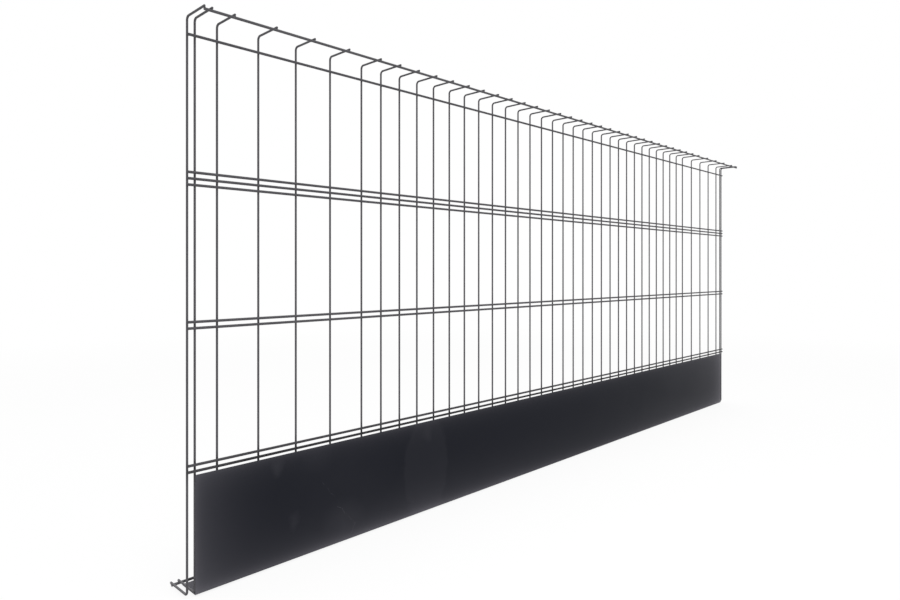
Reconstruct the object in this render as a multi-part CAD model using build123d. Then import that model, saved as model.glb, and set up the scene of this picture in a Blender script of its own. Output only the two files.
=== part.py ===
from build123d import *
import os

# Edge protection barrier: a welded wire mesh panel with a folded sheet toe board.
# X runs along the panel, -Y is the front with the toe board, +Z is up.
# The origin is at mid-length, in the plane of the uprights, at the underside of the foot wire.

# Driving dimensions in millimetres: the wire mesh
UPRIGHT_DIAMETER = 4.4  # over the coat
LONG_WIRE_DIAMETER = 5.4  # over the coat, also of the two edge wires
PANEL_LENGTH = 2580.0  # between the axes of the two end uprights
PANEL_HEIGHT = 1100.0  # over the bent ends of the uprights
END_GAP = 15.0  # end upright to its neighbour, axis to axis
SECOND_GAP = 45.0  # that neighbour to the third upright
WIDE_GAP = 90.0  # between uprights where the posts stand
WIDE_BAYS = 4  # wide bays at each end
MESH_BAYS = 29  # even bays between the wide ones
BEND_RADIUS = 5.0  # inside the bends of an upright
EDGE_REACH = 70.0  # upright axis to the axis of an edge wire
UPPER_WIRE_DROP = 34.5  # axis of the top bends down to the upper wire's axis
HOOK_PITCH = 12.0  # between the axes of neighbouring wires in a pair or a triple
LONG_WIRE_GROUPS = (  # from the lowest up
    ("lower_pair_wire_1", "lower_pair_wire_2"),
    ("middle_pair_wire_1", "middle_pair_wire_2"),
    ("triple_wire_1", "triple_wire_2", "triple_wire_3"),
    ("upper_wire",),
)

# Driving dimensions in millimetres: the toe board
SHEET = 2.0
BOARD_HEIGHT = 229.5
BOARD_TOP_GAP = 5.3  # top edge to the underside of the lowest long wire
FLANGE_GAP = 13.0  # back edge of the flange to the foot wire
FOLD_RADIUS = 1.5  # inside the fold

# Places that follow from them, from the foot wire upwards
upright_radius = UPRIGHT_DIAMETER / 2
long_radius = LONG_WIRE_DIAMETER / 2
crossing = upright_radius + long_radius  # between the axes of two wires that touch
foot_wire_z = long_radius
foot_bend_z = foot_wire_z + crossing
top_bend_z = foot_bend_z + PANEL_HEIGHT - UPRIGHT_DIAMETER
top_wire_z = top_bend_z - crossing
upper_wire_z = top_bend_z - UPPER_WIRE_DROP
flange_seat_z = foot_bend_z - upright_radius
board_bottom_z = flange_seat_z - SHEET
board_top_z = board_bottom_z + BOARD_HEIGHT
lowest_wire_z = board_top_z + BOARD_TOP_GAP + long_radius

# Depths from the plane of the uprights
long_wire_y = -crossing
board_back_y = -upright_radius
board_front_y = board_back_y - SHEET
flange_back_y = EDGE_REACH - long_radius - FLANGE_GAP


def upright_places():
    """X of every upright's axis: close pairs and wide bays at both ends, an even mesh between them."""
    end_gaps = [END_GAP, SECOND_GAP] + [WIDE_GAP] * WIDE_BAYS
    mesh_gap = (PANEL_LENGTH - 2 * sum(end_gaps)) / MESH_BAYS
    places = [-PANEL_LENGTH / 2]
    for gap in end_gaps + [mesh_gap] * MESH_BAYS + end_gaps[::-1]:
        places.append(places[-1] + gap)
    return places


def long_wire_heights():
    """Height of every long wire in the plane of the panel: the groups stand with equal openings between them."""
    hook_steps = sum(len(group) - 1 for group in LONG_WIRE_GROUPS)
    openings = len(LONG_WIRE_GROUPS) - 1
    opening = (upper_wire_z - lowest_wire_z - hook_steps * HOOK_PITCH) / openings
    heights = {}
    group_z = lowest_wire_z
    for group in LONG_WIRE_GROUPS:
        for step, name in enumerate(group):
            heights[name] = group_z + step * HOOK_PITCH
        group_z = heights[group[-1]] + opening
    return heights


def upright():
    """One wire bent to a Z: the top end turns to the front, the foot to the back."""
    leg_end = EDGE_REACH + long_radius
    corners = [(0, -leg_end, top_bend_z), (0, 0, top_bend_z), (0, 0, foot_bend_z), (0, leg_end, foot_bend_z)]
    path = FilletPolyline(*corners, radius=BEND_RADIUS + upright_radius)
    section = Plane(origin=path @ 0, z_dir=path % 0) * Circle(upright_radius)
    return sweep(section, path=path)


def long_wire(y, z):
    """A straight wire along the panel, cut at the axes of the end uprights."""
    return Pos(0, y, z) * Rot(0, 90, 0) * Cylinder(long_radius, PANEL_LENGTH)


def toe_board():
    """A sheet folded to an L: its face lies on the uprights, its flange goes under their bent feet."""
    outline = Polyline(
        (board_front_y, board_top_z),
        (board_back_y, board_top_z),
        (board_back_y, flange_seat_z),
        (flange_back_y, flange_seat_z),
        (flange_back_y, board_bottom_z),
        (board_front_y, board_bottom_z),
        close=True,
    )
    section = make_face(outline)
    inside = section.vertices().sort_by_distance((board_back_y, flange_seat_z))[0]
    section = fillet(inside, FOLD_RADIUS)
    outside = section.vertices().sort_by_distance((board_front_y, board_bottom_z))[0]
    section = fillet(outside, FOLD_RADIUS + SHEET)
    half_length = PANEL_LENGTH / 2 - END_GAP
    return extrude(Plane.YZ * section, amount=half_length, both=True)


def barrier():
    """Every piece of the panel by name."""
    pieces = {}
    bent_wire = upright()
    for number, x in enumerate(upright_places(), start=1):
        pieces[f"upright_{number:02d}"] = Pos(x, 0, 0) * bent_wire
    for name, z in long_wire_heights().items():
        pieces[name] = long_wire(long_wire_y, z)
    pieces["top_edge_wire"] = long_wire(-EDGE_REACH, top_wire_z)
    pieces["foot_edge_wire"] = long_wire(EDGE_REACH, foot_wire_z)
    pieces["toe_board"] = toe_board()
    return pieces


os.makedirs("parts", exist_ok=True)
for name, piece in barrier().items():
    export_step(piece, f"parts/{name}.step")
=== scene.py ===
import bpy
import bmesh
import collections
import functools
import math
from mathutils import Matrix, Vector


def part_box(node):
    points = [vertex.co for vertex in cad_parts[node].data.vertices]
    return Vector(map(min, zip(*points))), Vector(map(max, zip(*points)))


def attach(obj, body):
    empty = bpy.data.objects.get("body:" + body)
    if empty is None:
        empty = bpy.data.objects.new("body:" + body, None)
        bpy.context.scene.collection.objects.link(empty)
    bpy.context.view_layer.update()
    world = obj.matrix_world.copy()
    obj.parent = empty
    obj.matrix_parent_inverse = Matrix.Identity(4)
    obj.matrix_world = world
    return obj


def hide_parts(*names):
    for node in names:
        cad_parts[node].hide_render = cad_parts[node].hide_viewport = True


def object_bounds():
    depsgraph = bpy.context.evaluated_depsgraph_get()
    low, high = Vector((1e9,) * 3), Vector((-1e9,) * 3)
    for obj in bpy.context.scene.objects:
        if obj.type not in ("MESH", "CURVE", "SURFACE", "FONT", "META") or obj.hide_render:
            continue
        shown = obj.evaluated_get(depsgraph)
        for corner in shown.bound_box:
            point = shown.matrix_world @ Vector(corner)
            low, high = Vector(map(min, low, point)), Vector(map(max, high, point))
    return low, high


# Edge protection barrier: a powder coated wire mesh panel with a folded sheet toe board.
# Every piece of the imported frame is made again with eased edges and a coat, and the welds are added.
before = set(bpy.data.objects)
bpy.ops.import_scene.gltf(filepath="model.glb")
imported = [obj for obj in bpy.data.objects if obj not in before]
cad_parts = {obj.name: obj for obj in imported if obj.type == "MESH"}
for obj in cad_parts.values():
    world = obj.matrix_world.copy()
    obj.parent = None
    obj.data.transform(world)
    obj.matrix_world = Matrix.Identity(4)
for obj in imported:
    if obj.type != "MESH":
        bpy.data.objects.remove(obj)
cad_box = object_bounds()

MM = 0.001

# Names of the pieces, from the frame
UPRIGHTS = sorted(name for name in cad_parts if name.startswith("upright_"))
EDGE_WIRES = ("top_edge_wire", "foot_edge_wire")
PANEL_WIRES = sorted(set(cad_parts) - set(UPRIGHTS) - set(EDGE_WIRES) - {"toe_board"})

# Wires
WIRE_SIDES = 24
SIDE_FACE_CORNERS = 4  # the face that closes a wire's end has more
BEND_RADIUS = 7.2 * MM  # to the axis of the wire
BEND_STEPS = 8
CUT_EASE = 0.5 * MM  # eased rim of a cropped and coated wire end
SHARP_EDGE = math.radians(30)  # edges where the faces turn by more than this stay sharp

# Toe board
SHEET = 2.0 * MM
FOLD_RADIUS = 3.5 * MM  # outside the fold
FOLD_STEPS = 10
FOLD_RUN_IN = 1.5 * MM  # flat strip next to the fold that keeps the faces flat
SHEAR_EASE = 0.25 * MM  # eased rim of the cut sheet
SHEAR_EASE_STEPS = 2
SHEAR_EDGE = math.radians(60)  # faces turn by more than this at a cut edge, and by less in the fold

# Welds
NUGGET_SIDES = 8
NUGGET_RINGS = 5
NUGGET_SPARE = 0.12  # share by which welds differ in size
NUGGET_SEED = 7
WIRE_WELD_SPREAD = 2.9 * MM  # half width of a weld along two wires that cross
WIRE_WELD_DEPTH = 1.6 * MM  # half thickness of it across them
BOARD_WELD_SPREAD = 2.6 * MM
BOARD_WELD_DEPTH = 0.8 * MM
BOARD_WELD_HEIGHTS = (55 * MM, 175 * MM)  # above the underside of the flange
FLANGE_WELD_SHARE = 0.6  # of the flange's reach behind the uprights

# Half sizes of the welds along X, Y and Z
PANEL_WELD = (WIRE_WELD_SPREAD, WIRE_WELD_DEPTH, WIRE_WELD_SPREAD)
EDGE_WELD = (WIRE_WELD_SPREAD, WIRE_WELD_SPREAD, WIRE_WELD_DEPTH)
BOARD_WELD = (BOARD_WELD_SPREAD, BOARD_WELD_DEPTH, BOARD_WELD_SPREAD)
FLANGE_WELD = (BOARD_WELD_SPREAD, BOARD_WELD_SPREAD, BOARD_WELD_DEPTH)

# Powder coat, on wires and board alike
SKIN_DETAIL = {"Peel": 2.0, "Drift": 4.0}  # of the noise for its orange peel and for slow changes of tone
DRIFT_RANGE = (0.3, 0.7)  # of the slow noise, over which tone and roughness change
LEDGE_SLOPE = (0.3, 0.95)  # upward part of a face's normal, over which dust and painted top light come onto it

# Coat on the wires, with dust, painted top light, painted highlights on the feet and painted shade on the
# lowest wires
# the long wires get the uprights' coat painted darker, as painted shade
COAT_ON_UPRIGHT = (0.076, 0.074, 0.080, 1.0)
SHADED_COAT_ON_LONG_WIRE = (0.066, 0.064, 0.070, 1.0)
WIRE_SKIN = {"Peel Size": 0.9 * MM, "Drift Size": 60 * MM}
WIRE_PEEL = {"Strength": 0.1, "Distance": 0.03 * MM}
WIRE_ROUGHNESS = (0.46, 0.6)
WIRE_SPECULAR = 0.1
# pale tone for dust, painted top light and the painted highlight on the feet
DUST_AND_PAINTED_LIGHT_ON_WIRE = (0.200, 0.195, 0.208, 1.0)
WIRE_WEAR = (0.0, 0.1)  # least and greatest share of dust all round a wire
DUST_AND_TOP_LIGHT_HEIGHT = 100 * MM  # the dust and painted top light on the wires thin out from the floor up to here
WIRE_DUST_AND_TOP_LIGHT = (0.9, 0.2)  # its share at the floor, and from that height up
TIP_HIGHLIGHT_RUN = (62 * MM, 70 * MM)  # distances behind the uprights over which their feet turn pale: a painted highlight on the foot tips
TIP_HIGHLIGHT = 0.9
# painted shade: a dark tone for the wires next to the toe board and the floor
PAINTED_SHADE_ON_WIRE = (0.008, 0.008, 0.009, 1.0)
PAINTED_SHADE_STRENGTH = 0.8

# Reach of the painted shade above and below a wire's axis, its share at the panel's ends,
# and the distances from the ends over which it grows to its full strength
ShadeBand = collections.namedtuple("ShadeBand", "reach end_share growth")
PAINTED_SHADE_BANDS = {
    "foot_edge_wire": ShadeBand(reach=5 * MM, end_share=0.0, growth=(10 * MM, 32 * MM)),
    "lower_pair_wire_1": ShadeBand(reach=30 * MM, end_share=0.45, growth=(0.0, 120 * MM)),
}

# Coat on the toe board, with painted light along its edges, dust and painted top light on what looks up,
# and marks
COAT_ON_BOARD = (0.0074, 0.0083, 0.0128, 1.0)
BOARD_SKIN = {"Peel Size": 1.6 * MM, "Drift Size": 140 * MM}
BOARD_PEEL = {"Strength": 0.15, "Distance": 0.04 * MM}
BOARD_ROUGHNESS = (0.61, 0.65)
BOARD_SPECULAR = 0.08
# pale tone for dust, smears, scratches and the painted light along the board's edges
SITE_DUST_AND_PAINTED_LIGHT = (0.124, 0.121, 0.138, 1.0)
LIGHT_AND_MARK_PATCHES = (0.92, 1.08)  # least and greatest gain of the painted edge light and the marks on the face
LEDGE_DUST_AND_TOP_LIGHT = (0.5, 0.85)  # least and greatest share of dust and painted top light on what looks up
CUT_END_SLOPE = (0.5, 0.9)  # lengthwise part of a face's normal, over which it becomes a cut end
# how much paler the cut ends of the sheet are made
CUT_END_PALING = 0.2
# painted light along the board's edges, lighter towards its ends, foot and top
PAINTED_LIGHT_AT_LEFT_END = {"Rim": 0.16, "Rim Reach": 8 * MM, "Haze": 0.26, "Haze Reach": 60 * MM}
PAINTED_LIGHT_AT_RIGHT_END = {"Rim": 0.3, "Rim Reach": 30 * MM, "Haze": 0.32, "Haze Reach": 90 * MM}
PAINTED_LIGHT_AT_FOOT = {"Rim": 0.50, "Rim Reach": 9 * MM, "Haze": 0.25, "Haze Reach": 46 * MM}
PAINTED_LIGHT_AT_TOP = {"Rim": 0.14, "Rim Reach": 5 * MM, "Haze": 0.15, "Haze Reach": 22 * MM}
FOOT_LIGHT_GROWS = (-1.05, -0.87)  # stretch of the board over which the painted light along its foot grows
FOOT_LIGHT_GAIN = 1.25
FOOT_LIGHT_THINS = (-0.65, 0.12)  # over which it thins out again
FOOT_LIGHT_LOSS = 0.56
FOOT_LIGHT_RISES = (0.20, 1.20)  # and over which it grows towards the right end
FOOT_LIGHT_RISE = 1.83

# Smears on the front of the toe board: their places along X and Z, their half sizes,
# the share of those that is even, and how much dust they hold
Smear = collections.namedtuple("Smear", "across up half_width half_height core strength")
HANDLING_SMEARS = (
    Smear(across=-1.097, up=0.210, half_width=0.020, half_height=0.026, core=0.2, strength=0.072),
    Smear(across=-1.056, up=0.086, half_width=0.014, half_height=0.026, core=0.2, strength=0.05),
    Smear(across=-0.925, up=0.058, half_width=0.070, half_height=0.050, core=0.1, strength=0.058),
    Smear(across=-0.660, up=0.112, half_width=0.080, half_height=0.150, core=0.88, strength=0.037),
    Smear(across=-0.655, up=0.205, half_width=0.024, half_height=0.030, core=0.2, strength=0.045),
    Smear(across=-1.000, up=0.205, half_width=0.045, half_height=0.035, core=0.1, strength=0.025),
    Smear(across=-0.930, up=0.150, half_width=0.170, half_height=0.110, core=0.1, strength=0.030),
)
# painted light: a wide pale haze over the upper right of the board's front
CORNER_PAINTED_LIGHT = Smear(across=1.290, up=0.233, half_width=0.800, half_height=0.160, core=0.0, strength=0.155)
SMEAR_WAVES = (50 * MM, 40 * MM)  # size of the waves in a smear's outline, and their reach

# Scratches on the front of the toe board, from point to point along X and Z
Scratch = collections.namedtuple("Scratch", "start end")
SCRATCHES = (
    Scratch(start=(-0.986, 0.157), end=(-0.950, 0.112)),
    Scratch(start=(-0.942, 0.090), end=(-0.891, 0.036)),
    Scratch(start=(-0.888, 0.041), end=(-0.908, 0.009)),
)
SCRATCH_WIDTH = 1.2 * MM
SCRATCH_STRENGTH = 0.3
SCRATCH_WAVES = (22 * MM, 16 * MM)
SCRATCH_GAP_SIZE = 12 * MM
SCRATCH_GAP_RANGE = (0.42, 0.58)  # of the noise, between a gap in a scratch and the scratch
WAVE_DETAIL = 3.0
NOISE_MIDDLE = (0.5, 0.5, 0.5)

# Camera, found from the photograph's vanishing points and the panel's size
PHOTO_WIDTH = 900
PHOTO_FOCAL_LENGTH = 647.05  # in pixels of the photograph
SENSOR = 36.0  # width in millimetres
CAMERA_PLACE = (-1.8275, -1.1950, 0.6224)
CAMERA_YAW = 45.12  # degrees from the front view
CAMERA_SHIFT = (0.0176, -0.0327)  # of the picture, as shares of its width

# Floor and light
WHITE = (1.0, 1.0, 1.0, 1.0)
FLOOR_PAINT = (0.97, 0.97, 0.97, 1.0)
FLOOR_RADIUS = 60.0
FLOOR_SIDES = 96
FLOOR_WHITENESS = 0.88  # share of plain white near the panel in the floor as the camera sees it
FLOOR_FADE = (2.5, 5.0)  # distances between which the floor turns plain white
SKY_LEVEL = 0.75  # strength of the light from all round
SOFT_BOX_PLACE = (-1.2, -1.6, 3.6)
SOFT_BOX_TARGET = (0.0, 0.0, 0.4)
SOFT_BOX_SIZE = 4.0
SOFT_BOX_POWER = 85.0


def middle(node):
    """Centre of a node's box."""
    low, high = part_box(node)
    return (low + high) / 2


def wire_radius(node):
    """Half the thickness of a wire, which is the least side of its box."""
    low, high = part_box(node)
    return min(high - low) / 2


# Node helpers

def new_tree(name, kind, inputs, outputs):
    """A node group with named inputs and outputs, and the two nodes that stand for them."""
    tree = bpy.data.node_groups.new(name, kind)
    for label, socket_type in inputs.items():
        tree.interface.new_socket(label, in_out="INPUT", socket_type=socket_type)
    for label, socket_type in outputs.items():
        tree.interface.new_socket(label, in_out="OUTPUT", socket_type=socket_type)
    return tree, tree.nodes.new("NodeGroupInput").outputs, tree.nodes.new("NodeGroupOutput")


def socket(sockets, key):
    """A node's socket by its identifier, or else by its name."""
    return next((found for found in sockets if found.identifier == key), None) or sockets[key]


def plug(tree, node, key, value):
    """Links an output to a node's input, or sets the input to a plain value."""
    goal = socket(node.inputs, key)
    if isinstance(value, bpy.types.NodeSocket):
        tree.links.new(value, goal)
    else:
        goal.default_value = value


def add(tree, kind, inputs=None, output=None, **settings):
    """A node with its properties and inputs set; gives the output named, or else the first one."""
    node = tree.nodes.new(kind)
    for name, value in settings.items():
        setattr(node, name, value)
    for key, value in (inputs or {}).items():
        plug(tree, node, key, value)
    return socket(node.outputs, output) if output else node.outputs[0]


def worked(tree, operation, first, second=0.0):
    """The output of a Math node on two values, or on one where the operation needs no more."""
    return add(tree, "ShaderNodeMath", {"Value": first, "Value_001": second}, operation=operation)


def total(tree, values):
    """The sum of several values."""
    return functools.reduce(lambda first, second: worked(tree, "ADD", first, second), values)


def spread(tree, value, low, high, to_low, to_high):
    """A value from one range brought to another, and held within it."""
    bounds = {"From Min": low, "From Max": high, "To Min": to_low, "To Max": to_high}
    return add(tree, "ShaderNodeMapRange", {"Value": value, **bounds})


def vectors(tree, operation, first, second, output="Vector"):
    """The output of a Vector Math node on two vectors."""
    inputs = {"Vector": first, "Vector_001": second}
    return add(tree, "ShaderNodeVectorMath", inputs, output, operation=operation)


def scaled(tree, vector, factor):
    """A vector times a factor."""
    return add(tree, "ShaderNodeVectorMath", {"Vector": vector, "Scale": factor}, operation="SCALE")


def length(tree, vector):
    """The length of a vector."""
    return add(tree, "ShaderNodeVectorMath", {"Vector": vector}, "Value", operation="LENGTH")


def split(tree, vector):
    """The X, Y and Z of a vector."""
    node = tree.nodes.new("ShaderNodeSeparateXYZ")
    plug(tree, node, "Vector", vector)
    return tuple(node.outputs)


def mixed(tree, share, first, second):
    """Two colours mixed by a share."""
    inputs = {"Factor_Float": share, "A_Color": first, "B_Color": second}
    return add(tree, "ShaderNodeMix", inputs, "Result_Color", data_type="RGBA")


# Geometry Nodes: wires and welds

def wire_tree():
    """A path of straight runs becomes a round wire with bent corners and eased cut ends."""
    tree, given, result = new_tree(
        "bent wire",
        "GeometryNodeTree",
        {
            "Path": "NodeSocketGeometry",
            "Wire Radius": "NodeSocketFloat",
            "Bend Radius": "NodeSocketFloat",
            "Cut Ease": "NodeSocketFloat",
            "Coat": "NodeSocketMaterial",
        },
        {"Wire": "NodeSocketGeometry"},
    )
    path = add(tree, "GeometryNodeMeshToCurve", {"Mesh": given["Path"]})
    bends = {"Count": BEND_STEPS, "Limit Radius": True, "Radius": given["Bend Radius"]}
    bent = add(tree, "GeometryNodeFilletCurve", {"Curve": path, **bends}, mode="POLY")
    circle = {"Resolution": WIRE_SIDES, "Radius": given["Wire Radius"]}
    section = add(tree, "GeometryNodeCurvePrimitiveCircle", circle)
    rod = add(tree, "GeometryNodeCurveToMesh", {"Curve": bent, "Profile Curve": section, "Fill Caps": True})

    corners = add(tree, "GeometryNodeInputMeshFaceNeighbors", output="Vertex Count")
    compared = {"A_INT": corners, "B_INT": SIDE_FACE_CORNERS}
    is_end = add(tree, "FunctionNodeCompare", compared, data_type="INT", operation="GREATER_THAN")
    ends = tree.nodes.new("GeometryNodeExtrudeMesh")
    plug(tree, ends, "Mesh", rod)
    plug(tree, ends, "Selection", is_end)
    plug(tree, ends, "Offset Scale", given["Cut Ease"])
    share = worked(tree, "SUBTRACT", 1.0, worked(tree, "DIVIDE", given["Cut Ease"], given["Wire Radius"]))
    narrowed = {"Geometry": ends.outputs["Mesh"], "Selection": ends.outputs["Top"], "Scale": share}
    eased = add(tree, "GeometryNodeScaleElements", narrowed)

    whole = add(tree, "GeometryNodeRealizeInstances", {"Geometry": eased})
    coated = add(tree, "GeometryNodeSetMaterial", {"Geometry": whole, "Material": given["Coat"]})
    plug(tree, result, "Wire", coated)
    return tree


def weld_tree():
    """A weld nugget on every point, each a little different in size."""
    tree, given, result = new_tree(
        "weld nuggets",
        "GeometryNodeTree",
        {
            "Places": "NodeSocketGeometry",
            "Half Size": "NodeSocketVector",
            "Spare": "NodeSocketFloat",
            "Seed": "NodeSocketInt",
            "Coat": "NodeSocketMaterial",
        },
        {"Welds": "NodeSocketGeometry"},
    )
    ball = {"Segments": NUGGET_SIDES, "Rings": NUGGET_RINGS, "Radius": 1.0}
    nugget = add(tree, "GeometryNodeMeshUVSphere", ball)
    least = worked(tree, "SUBTRACT", 1.0, given["Spare"])
    draw = {"Min_001": least, "Max_001": 1.0, "Seed": given["Seed"]}
    drawn = add(tree, "FunctionNodeRandomValue", draw, "Value_001")
    size = scaled(tree, given["Half Size"], drawn)
    sown = {"Points": given["Places"], "Instance": nugget, "Scale": size}
    placed = add(tree, "GeometryNodeInstanceOnPoints", sown)
    whole = add(tree, "GeometryNodeRealizeInstances", {"Geometry": placed})
    coated = add(tree, "GeometryNodeSetMaterial", {"Geometry": whole, "Material": given["Coat"]})
    plug(tree, result, "Welds", coated)
    return tree


def grown(name, tree, points, edges, sizes):
    """A piece whose mesh a node tree makes from points and the edges between them."""
    start = bpy.data.meshes.new(name)
    start.from_pydata(points, edges, [])
    piece = bpy.data.objects.new(name, start)
    bpy.context.scene.collection.objects.link(piece)
    modifier = piece.modifiers.new("shape", "NODES")
    modifier.node_group = tree
    for item in tree.interface.items_tree:
        if item.in_out == "INPUT" and item.name in sizes:
            modifier[item.identifier] = sizes[item.name]
    settle(piece)
    return piece


def settle(piece):
    """Turns the piece's modifiers into its plain mesh, smooth but for its sharp edges."""
    evaluated = piece.evaluated_get(bpy.context.evaluated_depsgraph_get())
    made = bpy.data.meshes.new_from_object(evaluated)
    piece.modifiers.clear()
    piece.data = made
    made.shade_smooth()
    made.set_sharp_from_angle(angle=SHARP_EDGE)


# Pieces

def bent_wire(node, tree, points, coat):
    """The coated wire that stands for a wire of the frame."""
    edges = [(start, start + 1) for start in range(len(points) - 1)]
    sizes = {
        "Wire Radius": wire_radius(node),
        "Bend Radius": BEND_RADIUS,
        "Cut Ease": CUT_EASE,
        "Coat": coat,
    }
    wire = grown("coated_" + node, tree, points, edges, sizes)
    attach(wire, "root")
    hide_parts(node)


def upright_wire(node, tree, coat):
    """A wire bent to a Z: to the front at its top and to the back at its foot."""
    low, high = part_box(node)
    x = (low.x + high.x) / 2
    foot = low.z + wire_radius(node)
    top = high.z - wire_radius(node)
    points = [(x, low.y + CUT_EASE, top), (x, 0, top), (x, 0, foot), (x, high.y - CUT_EASE, foot)]
    bent_wire(node, tree, points, coat)


def long_wire(node, tree, coat):
    """A straight wire along the panel."""
    low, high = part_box(node)
    _, y, z = (low + high) / 2
    bent_wire(node, tree, [(low.x + CUT_EASE, y, z), (high.x - CUT_EASE, y, z)], coat)


def within_panel(place, half_size):
    """A place moved so that a weld there stays within the panel's box."""
    low, high = cad_box
    ranges = zip(place, half_size, low, high)
    return [min(max(at, least + half), most - half) for at, half, least, most in ranges]


def welds(name, tree, places, half_size, coat):
    """One piece with a weld nugget at every place."""
    sizes = {"Half Size": half_size, "Spare": NUGGET_SPARE, "Seed": NUGGET_SEED, "Coat": coat}
    piece = grown(name, tree, [within_panel(place, half_size) for place in places], [], sizes)
    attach(piece, "root")


def panel_weld_places():
    """Where every upright touches the long wires of the panel."""
    return [(middle(upright).x, middle(wire).y + wire_radius(wire), middle(wire).z)
            for upright in UPRIGHTS for wire in PANEL_WIRES]


def edge_weld_places():
    """Where the bent ends of the uprights lie on the two edge wires."""
    return [(middle(upright).x, middle(wire).y, middle(wire).z + wire_radius(wire))
            for upright in UPRIGHTS for wire in EDGE_WIRES]


def uprights_on_board():
    """X of the uprights that lie wholly on the toe board."""
    low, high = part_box("toe_board")
    boxes = [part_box(name) for name in UPRIGHTS]
    return [(left.x + right.x) / 2 for left, right in boxes if low.x < left.x and right.x < high.x]


def board_weld_places():
    """Where the uprights are spot welded to the back of the toe board."""
    low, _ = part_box("toe_board")
    return [(x, low.y + SHEET, low.z + height)
            for x in uprights_on_board() for height in BOARD_WELD_HEIGHTS]


def flange_weld_places():
    """Where the feet of the uprights are spot welded to the toe board's flange."""
    low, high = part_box("toe_board")
    return [(x, high.y * FLANGE_WELD_SHARE, low.z + SHEET) for x in uprights_on_board()]


def folded_board(coat):
    """The toe board: a sheet folded to an L, with a round fold and eased cut edges."""
    low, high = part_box("toe_board")
    fold_y = low.y + FOLD_RADIUS
    fold_z = low.z + FOLD_RADIUS
    section = [(low.y, high.z), (low.y, fold_z + FOLD_RUN_IN)]
    for step in range(FOLD_STEPS + 1):
        turn = math.pi / 2 * step / FOLD_STEPS
        section.append((fold_y - FOLD_RADIUS * math.cos(turn), fold_z - FOLD_RADIUS * math.sin(turn)))
    section += [(fold_y + FOLD_RUN_IN, low.z), (high.y, low.z)]

    sheet = bmesh.new()
    rows = [[sheet.verts.new((x, y, z)) for x in (low.x, high.x)] for y, z in section]
    for upper, lower in zip(rows, rows[1:]):
        sheet.faces.new((upper[0], lower[0], lower[1], upper[1]))
    mesh = bpy.data.meshes.new("coated_toe_board")
    sheet.to_mesh(mesh)
    sheet.free()
    mesh.materials.append(coat)
    board = bpy.data.objects.new("coated_toe_board", mesh)
    bpy.context.scene.collection.objects.link(board)

    wall = board.modifiers.new("sheet", "SOLIDIFY")
    wall.thickness = SHEET
    wall.offset = -1
    wall.use_even_offset = True
    rim = board.modifiers.new("eased rim", "BEVEL")
    rim.width = SHEAR_EASE
    rim.segments = SHEAR_EASE_STEPS
    rim.limit_method = "ANGLE"
    rim.angle_limit = SHEAR_EDGE
    settle(board)
    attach(board, "root")
    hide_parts("toe_board")


# Shader groups for the finishes

def coat_group():
    """Powder coat: the fine orange peel of its skin and the slow drift of its tone."""
    tree, given, result = new_tree(
        "powder coat skin",
        "ShaderNodeTree",
        {"Place": "NodeSocketVector", "Peel Size": "NodeSocketFloat", "Drift Size": "NodeSocketFloat"},
        {"Peel": "NodeSocketFloat", "Drift": "NodeSocketFloat"},
    )
    for effect, detail in SKIN_DETAIL.items():
        scale = worked(tree, "DIVIDE", 1.0, given[effect + " Size"])
        grain = {"Vector": given["Place"], "Scale": scale, "Detail": detail}
        plug(tree, result, effect, add(tree, "ShaderNodeTexNoise", grain))
    return tree


def painted_edge_light_group():
    """Painted light that thins out from an edge: a dense rim and a wide haze."""
    tree, given, result = new_tree(
        "painted edge light",
        "ShaderNodeTree",
        {
            "Distance": "NodeSocketFloat",
            "Rim": "NodeSocketFloat",
            "Rim Reach": "NodeSocketFloat",
            "Haze": "NodeSocketFloat",
            "Haze Reach": "NodeSocketFloat",
        },
        {"Edge Light": "NodeSocketFloat"},
    )
    parts = []
    for effect in ("Rim", "Haze"):
        ratio = worked(tree, "DIVIDE", given["Distance"], given[effect + " Reach"])
        thinned = worked(tree, "EXPONENT", worked(tree, "MULTIPLY", ratio, -1.0))
        parts.append(worked(tree, "MULTIPLY", thinned, given[effect]))
    plug(tree, result, "Edge Light", total(tree, parts))
    return tree


def smudge_group():
    """A round mark about a centre, even as far as its core and fading out from there."""
    tree, given, result = new_tree(
        "smudge",
        "ShaderNodeTree",
        {
            "Place": "NodeSocketVector",
            "Centre": "NodeSocketVector",
            "Half Size": "NodeSocketVector",
            "Core": "NodeSocketFloat",
        },
        {"Mark": "NodeSocketFloat"},
    )
    offset = vectors(tree, "SUBTRACT", given["Place"], given["Centre"])
    distance = length(tree, vectors(tree, "DIVIDE", offset, given["Half Size"]))
    plug(tree, result, "Mark", spread(tree, distance, given["Core"], 1.0, 1.0, 0.0))
    return tree


def scratch_group():
    """A thin mark between two points."""
    tree, given, result = new_tree(
        "scratch",
        "ShaderNodeTree",
        {
            "Place": "NodeSocketVector",
            "Start": "NodeSocketVector",
            "End": "NodeSocketVector",
            "Half Width": "NodeSocketFloat",
        },
        {"Mark": "NodeSocketFloat"},
    )
    run = vectors(tree, "SUBTRACT", given["End"], given["Start"])
    offset = vectors(tree, "SUBTRACT", given["Place"], given["Start"])
    along = vectors(tree, "DOT_PRODUCT", offset, run, "Value")
    whole = vectors(tree, "DOT_PRODUCT", run, run, "Value")
    share = spread(tree, worked(tree, "DIVIDE", along, whole), 0.0, 1.0, 0.0, 1.0)
    aside = vectors(tree, "DISTANCE", offset, scaled(tree, run, share), "Value")
    plug(tree, result, "Mark", spread(tree, aside, 0.0, given["Half Width"], 1.0, 0.0))
    return tree


def grouped(tree, group, inputs):
    """The outputs of a shader group in a material."""
    node = tree.nodes.new("ShaderNodeGroup")
    node.node_tree = group
    for key, value in inputs.items():
        plug(tree, node, key, value)
    return node.outputs


# Finishes

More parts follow.
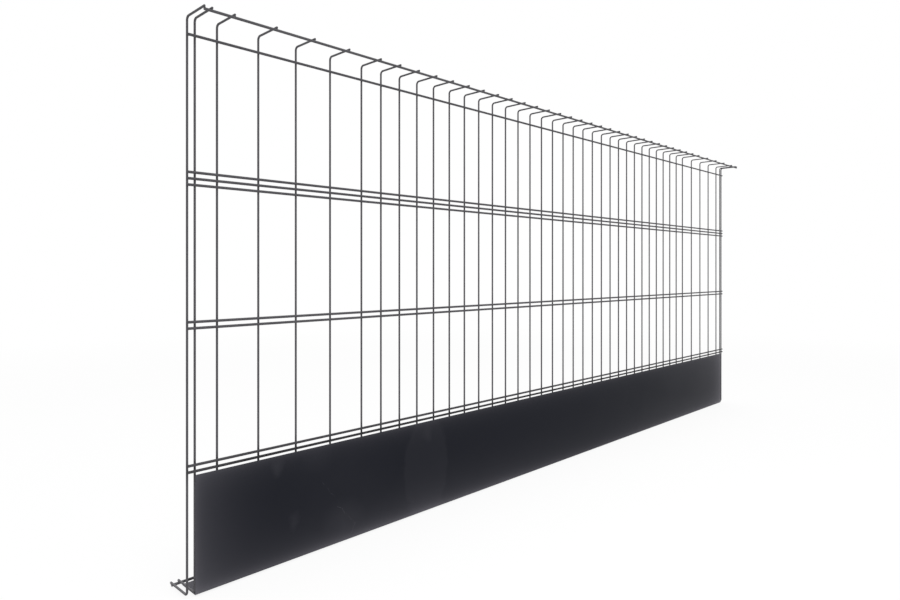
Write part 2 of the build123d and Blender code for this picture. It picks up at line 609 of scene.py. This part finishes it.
def new_material(name):
    """A material with a Principled BSDF, ready for its nodes."""
    material = bpy.data.materials.new(name)
    material.use_nodes = True
    return material, material.node_tree, material.node_tree.nodes["Principled BSDF"]


def drifting(tree, coat, least, most):
    """A value that changes slowly over a coat."""
    return spread(tree, coat["Drift"], *DRIFT_RANGE, least, most)


def normal_along(tree, axis):
    """The part of a face's normal along an axis."""
    normal = add(tree, "ShaderNodeNewGeometry", output="Normal")
    return add(tree, "ShaderNodeSeparateXYZ", {"Vector": normal}, axis)


def facing_up(tree):
    """1 on faces that look up, which get dust and painted top light, 0 on upright ones."""
    return spread(tree, normal_along(tree, "Z"), *LEDGE_SLOPE, 0.0, 1.0)


def facing_end(tree):
    """1 on the cut ends of the sheet, 0 on its faces."""
    return spread(tree, worked(tree, "ABSOLUTE", normal_along(tree, "X")), *CUT_END_SLOPE, 0.0, 1.0)


def painted_wire_shade(tree, place):
    """Painted shade about the foot edge wire and the lowest long wire, and less of it at the panel's ends.
    """
    across, _, height = split(tree, place)
    panel_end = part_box("foot_edge_wire")[1].x
    from_end = worked(tree, "SUBTRACT", panel_end, worked(tree, "ABSOLUTE", across))
    bands = []
    for wire, band in PAINTED_SHADE_BANDS.items():
        aside = worked(tree, "ABSOLUTE", worked(tree, "SUBTRACT", height, middle(wire).z))
        darkened = spread(tree, aside, 0.0, band.reach, PAINTED_SHADE_STRENGTH, 0.0)
        share = spread(tree, from_end, *band.growth, band.end_share, 1.0)
        bands.append(worked(tree, "MULTIPLY", darkened, share))
    return total(tree, bands)


def wire_coat(name, colour, skin):
    """Satin anthracite powder coat on a wire, with dust and painted top light on what looks up, a painted
    highlight on the feet and painted shade on the lowest wires.
    """
    material, tree, shader = new_material(name)
    place = add(tree, "ShaderNodeTexCoord", output="Object")
    _, depth, height = split(tree, place)
    coat = grouped(tree, skin, {"Place": place, **WIRE_SKIN})
    worn = drifting(tree, coat, *WIRE_WEAR)
    # dust and painted top light on what looks up, thicker near the floor
    dust_and_top_light = worked(tree, "MULTIPLY", facing_up(tree), spread(tree, height, 0.0, DUST_AND_TOP_LIGHT_HEIGHT, *WIRE_DUST_AND_TOP_LIGHT))
    # painted highlight: the tips of the feet turn pale
    tip_highlight = spread(tree, depth, *TIP_HIGHLIGHT_RUN, 0.0, TIP_HIGHLIGHT)
    pale = worked(tree, "MAXIMUM", worked(tree, "ADD", worn, dust_and_top_light), tip_highlight)
    dusty_and_lit = mixed(tree, pale, colour, DUST_AND_PAINTED_LIGHT_ON_WIRE)
    # painted shade on the lowest wires
    plug(tree, shader, "Base Color", mixed(tree, painted_wire_shade(tree, place), dusty_and_lit, PAINTED_SHADE_ON_WIRE))
    plug(tree, shader, "Roughness", drifting(tree, coat, *WIRE_ROUGHNESS))
    plug(tree, shader, "Normal", add(tree, "ShaderNodeBump", {"Height": coat["Peel"], **WIRE_PEEL}))
    plug(tree, shader, "Specular IOR Level", WIRE_SPECULAR)
    return material


def painted_edge_light(tree, edge_light_group, distance, lightening):
    """The painted light along one edge of the toe board."""
    return grouped(tree, edge_light_group, {"Distance": distance, **lightening})["Edge Light"]


def painted_board_light(tree, edge_light_group, place):
    """Painted light along the edges of the toe board: at its two ends, its foot and its top."""
    low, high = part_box("toe_board")
    x, _, z = split(tree, place)
    left = painted_edge_light(tree, edge_light_group, worked(tree, "SUBTRACT", x, low.x), PAINTED_LIGHT_AT_LEFT_END)
    right = painted_edge_light(tree, edge_light_group, worked(tree, "SUBTRACT", high.x, x), PAINTED_LIGHT_AT_RIGHT_END)
    foot = painted_edge_light(tree, edge_light_group, worked(tree, "SUBTRACT", z, low.z), PAINTED_LIGHT_AT_FOOT)
    top = painted_edge_light(tree, edge_light_group, worked(tree, "SUBTRACT", high.z, z), PAINTED_LIGHT_AT_TOP)
    gain = spread(tree, x, *FOOT_LIGHT_GROWS, 1.0, FOOT_LIGHT_GAIN)
    loss = spread(tree, x, *FOOT_LIGHT_THINS, 1.0, FOOT_LIGHT_LOSS)
    rise = spread(tree, x, *FOOT_LIGHT_RISES, 1.0, FOOT_LIGHT_RISE)
    foot_share = worked(tree, "MULTIPLY", worked(tree, "MULTIPLY", gain, loss), rise)
    along_foot = worked(tree, "MULTIPLY", foot, foot_share)
    return total(tree, [along_foot, left, right, top])


def on_front(across, up):
    """A point on the front of the toe board."""
    return across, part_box("toe_board")[0].y, up


def smeared(tree, smudge, place, smear):
    """A pale smear on the front of the toe board."""
    shape = {
        "Centre": on_front(smear.across, smear.up),
        "Half Size": (smear.half_width, SHEET / 2, smear.half_height),
        "Core": smear.core,
    }
    mark = grouped(tree, smudge, {"Place": place, **shape})
    return worked(tree, "MULTIPLY", mark["Mark"], smear.strength)


def scratched(tree, scratch, place, line):
    """A scratch in the coat on the front of the toe board."""
    shape = {
        "Start": on_front(*line.start),
        "End": on_front(*line.end),
        "Half Width": SCRATCH_WIDTH / 2,
    }
    mark = grouped(tree, scratch, {"Place": place, **shape})
    return worked(tree, "MULTIPLY", mark["Mark"], SCRATCH_STRENGTH)


def wavy(tree, place, size, reach):
    """A place pushed about in the plane of the board, so that marks have uneven outlines."""
    waves = {"Vector": place, "Scale": 1 / size, "Detail": WAVE_DETAIL}
    noise = add(tree, "ShaderNodeTexNoise", waves, "Color")
    centred = vectors(tree, "SUBTRACT", noise, NOISE_MIDDLE)
    push = vectors(tree, "MULTIPLY", centred, (reach, 0.0, reach))
    return vectors(tree, "ADD", place, push)


def board_marks(tree, place):
    """Smears and scratches from handling towards the left end, and a wide painted light at the upper right.
    """
    smudge = smudge_group()
    scratch = scratch_group()
    soft = wavy(tree, place, *SMEAR_WAVES)
    shaky = wavy(tree, place, *SCRATCH_WAVES)
    gaps = add(tree, "ShaderNodeTexNoise", {"Vector": place, "Scale": 1 / SCRATCH_GAP_SIZE})
    broken = spread(tree, gaps, *SCRATCH_GAP_RANGE, 0.0, 1.0)
    smears = [smeared(tree, smudge, soft, smear) for smear in HANDLING_SMEARS]
    smears.append(smeared(tree, smudge, place, CORNER_PAINTED_LIGHT))
    scratches = [scratched(tree, scratch, shaky, line) for line in SCRATCHES]
    worn = worked(tree, "MULTIPLY", total(tree, scratches), broken)
    return worked(tree, "ADD", total(tree, smears), worn)


def board_coat(skin, edge_light_group):
    """Matt anthracite powder coat on the toe board, with painted light along its edges, dust and painted
    top light on what looks up, paler cut ends and marks from handling.
    """
    material, tree, shader = new_material("anthracite coat on board")
    place = add(tree, "ShaderNodeTexCoord", output="Object")
    coat = grouped(tree, skin, {"Place": place, **BOARD_SKIN})
    # painted light along the edges and at the upper right, with the smears and scratches
    light_and_marks = worked(tree, "ADD", painted_board_light(tree, edge_light_group, place), board_marks(tree, place))
    lightening = worked(tree, "MULTIPLY", light_and_marks, drifting(tree, coat, *LIGHT_AND_MARK_PATCHES))
    # dust and painted top light on what looks up
    dust_and_top_light = worked(tree, "MULTIPLY", facing_up(tree), drifting(tree, coat, *LEDGE_DUST_AND_TOP_LIGHT))
    # the cut ends of the sheet are made paler
    on_end = worked(tree, "MULTIPLY", facing_end(tree), CUT_END_PALING)
    paling = worked(tree, "ADD", worked(tree, "MAXIMUM", lightening, dust_and_top_light), on_end)
    plug(tree, shader, "Base Color", mixed(tree, paling, COAT_ON_BOARD, SITE_DUST_AND_PAINTED_LIGHT))
    plug(tree, shader, "Roughness", drifting(tree, coat, *BOARD_ROUGHNESS))
    plug(tree, shader, "Normal", add(tree, "ShaderNodeBump", {"Height": coat["Peel"], **BOARD_PEEL}))
    plug(tree, shader, "Specular IOR Level", BOARD_SPECULAR)
    return material


# Stage

def white_seen(tree):
    """1 for rays from the camera, a reflection or a transmission, which see white, and 0 for the rest."""
    path = tree.nodes.new("ShaderNodeLightPath").outputs
    either = worked(tree, "MAXIMUM", path["Is Camera Ray"], path["Is Glossy Ray"])
    return worked(tree, "MAXIMUM", either, path["Is Transmission Ray"])


def floor():
    """A pale studio floor that keeps a faint shadow of the panel."""
    material, tree, shader = new_material("pale floor")
    tree.nodes.remove(shader)
    paint = add(tree, "ShaderNodeBsdfDiffuse", {"Color": FLOOR_PAINT})
    white = add(tree, "ShaderNodeEmission", {"Color": WHITE, "Strength": 1.0})
    distance = length(tree, add(tree, "ShaderNodeTexCoord", output="Object"))
    whiteness = spread(tree, distance, *FLOOR_FADE, FLOOR_WHITENESS, 1.0)
    share = worked(tree, "MULTIPLY", white_seen(tree), whiteness)
    look = add(tree, "ShaderNodeMixShader", {"Fac": share, "Shader": paint, "Shader_001": white})
    plug(tree, tree.nodes["Material Output"], "Surface", look)

    disc = bmesh.new()
    bmesh.ops.create_circle(disc, cap_ends=True, segments=FLOOR_SIDES, radius=FLOOR_RADIUS)
    mesh = bpy.data.meshes.new("floor")
    disc.to_mesh(mesh)
    disc.free()
    mesh.materials.append(material)
    ground = bpy.data.objects.new("floor", mesh)
    bpy.context.scene.collection.objects.link(ground)


def surroundings():
    """Even white light from all round."""
    world = bpy.data.worlds.new("white studio")
    world.use_nodes = True
    tree = world.node_tree
    background = tree.nodes["Background"]
    plug(tree, background, "Color", WHITE)
    plug(tree, background, "Strength", spread(tree, white_seen(tree), 0.0, 1.0, SKY_LEVEL, 1.0))
    bpy.context.scene.world = world


def soft_box():
    """A square soft light overhead that the camera doesn't see."""
    data = bpy.data.lights.new("overhead soft box", "AREA")
    data.size = SOFT_BOX_SIZE
    data.energy = SOFT_BOX_POWER
    light = bpy.data.objects.new("overhead soft box", data)
    light.location = SOFT_BOX_PLACE
    aim = Vector(SOFT_BOX_TARGET) - Vector(SOFT_BOX_PLACE)
    light.rotation_euler = aim.to_track_quat("-Z", "Y").to_euler()
    light.visible_camera = False
    bpy.context.scene.collection.objects.link(light)


def camera():
    """The photograph's view."""
    data = bpy.data.cameras.new("camera")
    data.sensor_width = SENSOR
    data.lens = PHOTO_FOCAL_LENGTH / PHOTO_WIDTH * SENSOR
    data.shift_x, data.shift_y = CAMERA_SHIFT
    viewer = bpy.data.objects.new("camera", data)
    viewer.location = CAMERA_PLACE
    viewer.rotation_euler = (math.pi / 2, 0, -math.radians(CAMERA_YAW))
    bpy.context.scene.collection.objects.link(viewer)
    bpy.context.scene.camera = viewer


# Build

skin = coat_group()
upright_finish = wire_coat("anthracite coat on uprights", COAT_ON_UPRIGHT, skin)
# painted shade: the long wires' coat is darker than the uprights'
shaded_long_wire_finish = wire_coat("anthracite coat painted darker on long wires", SHADED_COAT_ON_LONG_WIRE, skin)
board_finish = board_coat(skin, painted_edge_light_group())
wires = wire_tree()
nuggets = weld_tree()
for node in UPRIGHTS:
    upright_wire(node, wires, upright_finish)
for node in PANEL_WIRES:
    long_wire(node, wires, shaded_long_wire_finish)
for node in EDGE_WIRES:
    long_wire(node, wires, upright_finish)
folded_board(board_finish)
welds("panel_welds", nuggets, panel_weld_places(), PANEL_WELD, upright_finish)
welds("edge_welds", nuggets, edge_weld_places(), EDGE_WELD, upright_finish)
welds("board_welds", nuggets, board_weld_places(), BOARD_WELD, upright_finish)
welds("flange_welds", nuggets, flange_weld_places(), FLANGE_WELD, upright_finish)

floor()
surroundings()
soft_box()
camera()
bpy.context.scene.view_settings.view_transform = "Standard"
